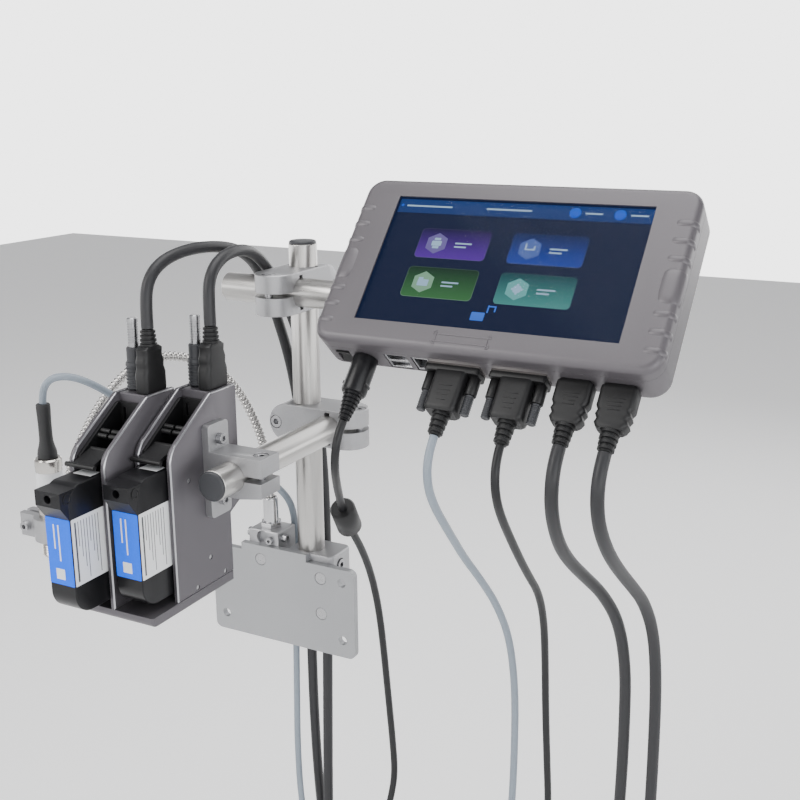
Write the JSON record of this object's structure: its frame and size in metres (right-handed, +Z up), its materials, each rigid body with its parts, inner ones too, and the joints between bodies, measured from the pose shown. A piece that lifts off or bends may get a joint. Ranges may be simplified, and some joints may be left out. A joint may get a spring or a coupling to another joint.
{
  "type": "date code inkjet printer",
  "caption": "Inkjet date coder for a conveyor: touch controller, paired cartridge heads and a gooseneck photocell, clamped on a round post.",
  "frame": {"origin": "centre of the bolt pattern in the front face of the mounting plate, which lies against the side of a conveyor", "axes": "+Z up along the post, +X along the conveyor towards the controller, +Y away from the operator"},
  "size_m": [0.4275, 0.2412, 0.6915],
  "materials": {
    "plate_steel": "satin",
    "foot_aluminium": "satin",
    "screw_steel": "bright",
    "tube_aluminium": "satin",
    "cap_plastic": "matte",
    "bright_metal": "polished",
    "black_rubber": "matte",
    "clamp_aluminium": "satin",
    "case_paint": "satin",
    "screen_glass": "gloss",
    "display": "gloss",
    "circuit_board": "gloss",
    "black_plastic": "matte",
    "head_anodised": "satin",
    "cartridge_plastic": "satin",
    "hdmi_sleeve": "satin",
    "grey_sleeve": "satin",
    "black_sleeve": "satin"
  },
  "bodies": {
    "root": {"mount_plate": "plate_steel", "foot_block": "foot_aluminium", "base_screws": "screw_steel", "post": "tube_aluminium", "post_cap": "cap_plastic", "sensor_block": "foot_aluminium", "gooseneck_fitting": "bright_metal", "gooseneck": "bright_metal", "sensor_clamp": "foot_aluminium", "hdmi_lead_left": "hdmi_sleeve", "hdmi_lead_right": "hdmi_sleeve", "sensor_lead": "grey_sleeve", "encoder_lead": "black_sleeve", "encoder_lead_coil": "black_sleeve", "encoder_lead_plug": "black_plastic", "power_lead": "black_sleeve", "power_lead_coil": "black_sleeve", "power_lead_plug": "black_plastic", "ferrite": "black_plastic"},
    "photocell": {"photocell": "bright_metal", "photocell_boot": "black_rubber"},
    "upper_clamp": {"upper_clamp": "clamp_aluminium", "upper_clamp_screws": "screw_steel"},
    "upper_rod": {"upper_rod": "tube_aluminium"},
    "controller": {"controller_bracket": "clamp_aluminium", "controller_screws": "screw_steel", "controller_back": "case_paint", "controller_front": "case_paint", "screen_glass": "screen_glass", "display_panel": "display", "control_board": "circuit_board", "dsub_sockets": "screw_steel", "port_sockets": "bright_metal", "dsub_plugs": "black_plastic", "plug_thumbscrews": "screw_steel", "controller_hdmi_plugs": "black_plastic", "power_plug": "black_plastic"},
    "power_switch": {"power_switch": "black_plastic"},
    "lower_clamp": {"lower_clamp": "clamp_aluminium", "lower_clamp_screws": "screw_steel"},
    "lower_rod": {"lower_rod": "tube_aluminium", "lower_rod_cap": "cap_plastic"},
    "print_heads": {"head_bracket": "clamp_aluminium", "head_screws": "screw_steel", "head_base_plate": "head_anodised", "right_head_right_plate": "head_anodised", "right_head_left_plate": "head_anodised", "left_head_right_plate": "head_anodised", "left_head_left_plate": "head_anodised", "right_head_cradle": "black_plastic", "left_head_cradle": "black_plastic", "right_head_cover": "head_anodised", "left_head_cover": "head_anodised", "head_boards": "circuit_board", "head_connectors": "black_plastic", "head_hdmi_plugs": "black_plastic"},
    "left_latch": {"left_latch": "black_plastic"},
    "right_latch": {"right_latch": "black_plastic"},
    "left_cartridge": {"left_cartridge": "cartridge_plastic"},
    "right_cartridge": {"right_cartridge": "cartridge_plastic"}
  },
  "joints": [
    {"name": "photocell_height", "type": "slide", "parent": "root", "child": "photocell", "axis": [0, 0, 1], "range_m": [-0.008, 0.008], "deforming": ["sensor_lead"]},
    {"name": "upper_clamp_swivel", "type": "hinge", "parent": "root", "child": "upper_clamp", "pos_m": [0.016, 0.016, 0.2265], "axis": [0, 0, 1], "range_deg": [-15, 15], "deforming": ["hdmi_lead_left", "hdmi_lead_right", "sensor_lead", "encoder_lead", "power_lead", "ferrite"]},
    {"name": "upper_rod_slide", "type": "slide", "parent": "upper_clamp", "child": "upper_rod", "axis": [1, 0, 0], "range_m": [-0.012, 0.03], "deforming": ["hdmi_lead_left", "hdmi_lead_right", "sensor_lead", "encoder_lead", "power_lead", "ferrite"]},
    {"name": "controller_tilt", "type": "hinge", "parent": "upper_rod", "child": "controller", "pos_m": [0.18, -0.008, 0.2265], "axis": [1, 0, 0], "range_deg": [-20, 35], "deforming": ["hdmi_lead_left", "hdmi_lead_right", "sensor_lead", "encoder_lead", "power_lead", "ferrite"]},
    {"name": "power_rocker", "type": "hinge", "parent": "controller", "child": "power_switch", "pos_m": [0.0965, -0.06386, 0.20481], "axis": [1, 0, 0], "range_deg": [-8, 8]},
    {"name": "lower_clamp_height", "type": "slide", "parent": "root", "child": "lower_clamp", "axis": [0, 0, 1], "range_m": [-0.008, 0.025], "deforming": ["hdmi_lead_left", "hdmi_lead_right"]},
    {"name": "lower_rod_slide", "type": "slide", "parent": "lower_clamp", "child": "lower_rod", "axis": [0, 1, 0], "range_m": [-0.02, 0.02], "deforming": ["hdmi_lead_left", "hdmi_lead_right"]},
    {"name": "head_roll", "type": "hinge", "parent": "lower_rod", "child": "print_heads", "pos_m": [0.04, -0.0975, 0.132], "axis": [0, 1, 0], "range_deg": [-10, 10], "deforming": ["hdmi_lead_left", "hdmi_lead_right"]},
    {"name": "left_latch_swing", "type": "hinge", "parent": "print_heads", "child": "left_latch", "pos_m": [-0.0217, -0.149, 0.1515], "axis": [-1, 0, 0], "range_deg": [0, 70]},
    {"name": "right_latch_swing", "type": "hinge", "parent": "print_heads", "child": "right_latch", "pos_m": [0.0065, -0.125, 0.1515], "axis": [-1, 0, 0], "range_deg": [0, 70]},
    {"name": "left_cartridge_slide", "type": "slide", "parent": "print_heads", "child": "left_cartridge", "axis": [0, -1, 0], "range_m": [0, 0.04]},
    {"name": "right_cartridge_slide", "type": "slide", "parent": "print_heads", "child": "right_cartridge", "axis": [0, -1, 0], "range_m": [0, 0.04]}
  ]
}
